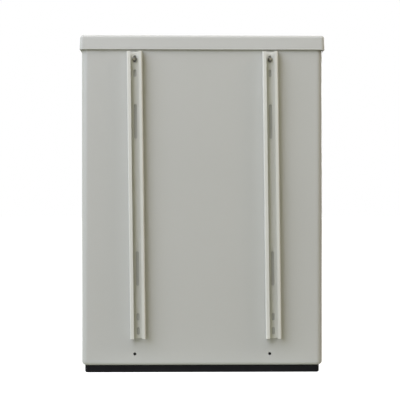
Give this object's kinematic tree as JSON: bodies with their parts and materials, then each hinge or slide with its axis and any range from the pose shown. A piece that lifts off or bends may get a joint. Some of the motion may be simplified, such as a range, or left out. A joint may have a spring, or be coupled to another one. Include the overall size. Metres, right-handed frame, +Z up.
{
  "type": "roadside utility cabinet",
  "caption": "Compact moulded roadside cabinet with an overhanging rain cap, low plinth, lockable front door, inner equipment frame and slotted C-rails on its rear for a bracket.",
  "frame": {"origin": "on the ground at the middle of the plinth's four anchor holes", "axes": "+Z up, -Y out of the door, +Y out of the rear wall with the rails, +X to the right seen from the front"},
  "size_m": [0.7628, 0.3873, 1.05],
  "materials": {
    "body_moulding": "fine moulded grain, satin",
    "cap_moulding": "fine moulded grain, satin",
    "plinth_black": "matt black",
    "rail_paint": "satin powder coat, off-white",
    "bolt_steel": "zinc plated",
    "insert_steel": "zinc plated",
    "screw_steel": "stainless",
    "seal_rubber": "foam rubber",
    "hinge_steel": "stainless, brushed",
    "lock_black": "black powder coat",
    "lock_plated": "nickel plated",
    "lock_cast": "die-cast, grey",
    "rod_steel": "zinc plated",
    "guide_plastic": "black nylon",
    "pocket_plastic": "light grey",
    "frame_steel": "galvanised",
    "panel_paint": "light grey powder coat",
    "adapter_plastic": "green",
    "dust_cap_plastic": "translucent white",
    "splice_plastic": "grey",
    "earth_copper": "bare copper",
    "insulator_plastic": "red-brown",
    "gland_aluminium": "mill finish",
    "grommet_rubber": "soft rubber"
  },
  "bodies": {
    "cabinet": {"body_shell": "body_moulding", "front_frame": "body_moulding", "roof_cap": "cap_moulding", "plinth": "plinth_black", "left_rear_rail": "rail_paint", "right_rear_rail": "rail_paint", "rail_bolts": "bolt_steel", "rail_washers": "bolt_steel", "roof_cap_bolts": "bolt_steel", "plinth_bolts": "bolt_steel", "equipment_frame_bolts": "bolt_steel", "rear_inserts": "insert_steel", "hinge_frame_screws": "screw_steel", "panel_screws": "screw_steel", "cage_nuts": "screw_steel", "earth_screws": "screw_steel", "gland_plate_screws": "screw_steel", "door_gasket": "seal_rubber", "upper_hinge_frame_leaf": "hinge_steel", "middle_hinge_frame_leaf": "hinge_steel", "lower_hinge_frame_leaf": "hinge_steel", "hinge_pins": "hinge_steel", "left_upright": "frame_steel", "right_upright": "frame_steel", "lower_crossbar": "frame_steel", "upper_crossbar": "frame_steel", "cable_bar": "frame_steel", "adapter_panel_1": "panel_paint", "adapter_panel_2": "panel_paint", "adapter_panel_3": "panel_paint", "fibre_adapters": "adapter_plastic", "adapter_dust_caps": "dust_cap_plastic", "splice_box_base": "splice_plastic", "splice_box_lid": "splice_plastic", "earth_bar": "earth_copper", "earth_insulators": "insulator_plastic", "gland_plate": "gland_aluminium", "cable_grommets": "grommet_rubber"},
    "door": {"door_panel": "body_moulding", "upper_hinge_door_leaf": "hinge_steel", "middle_hinge_door_leaf": "hinge_steel", "lower_hinge_door_leaf": "hinge_steel", "hinge_door_screws": "screw_steel", "lock_escutcheon": "lock_black", "lock_case": "lock_cast", "lock_case_cover": "lock_cast", "lock_screws": "screw_steel", "upper_rod_guide": "guide_plastic", "lower_rod_guide": "guide_plastic", "key_cylinder": "lock_plated", "flap_rivet": "lock_plated", "document_pocket": "pocket_plastic"},
    "turning_handle": {"handle": "lock_black", "lock_spindle": "rod_steel"},
    "upper_rod": {"upper_locking_rod": "rod_steel"},
    "lower_rod": {"lower_locking_rod": "rod_steel"},
    "flap": {"key_flap": "lock_black"},
    "plug": {"key_plug": "lock_plated"}
  },
  "joints": [
    {"name": "door_hinge", "type": "hinge", "parent": "cabinet", "child": "door", "pos_m": [-0.3385, -0.1665, 0.5], "axis": [0, 0, -1], "range_deg": [0, 120]},
    {"name": "handle_turn", "type": "hinge", "parent": "door", "child": "turning_handle", "pos_m": [0.276, -0.16, 0.51375], "axis": [0, -1, 0], "range_deg": [0, 90]},
    {"name": "upper_rod_slide", "type": "slide", "parent": "door", "child": "upper_rod", "axis": [0, 0, 1], "range_m": [0, 0.01885]},
    {"name": "lower_rod_slide", "type": "slide", "parent": "door", "child": "lower_rod", "axis": [0, 0, -1], "range_m": [0, 0.01885]},
    {"name": "flap_swing", "type": "hinge", "parent": "door", "child": "flap", "pos_m": [0.276, -0.167, 0.48875], "axis": [0, -1, 0], "range_deg": [-75, 75]},
    {"name": "plug_turn", "type": "hinge", "parent": "door", "child": "plug", "pos_m": [0.276, -0.16, 0.47375], "axis": [0, -1, 0], "range_deg": [0, 90]}
  ],
  "couplings": [
    {"joint": "upper_rod_slide", "follows": "handle_turn", "m_per_rad": 0.012},
    {"joint": "lower_rod_slide", "follows": "handle_turn", "m_per_rad": 0.012}
  ]
}
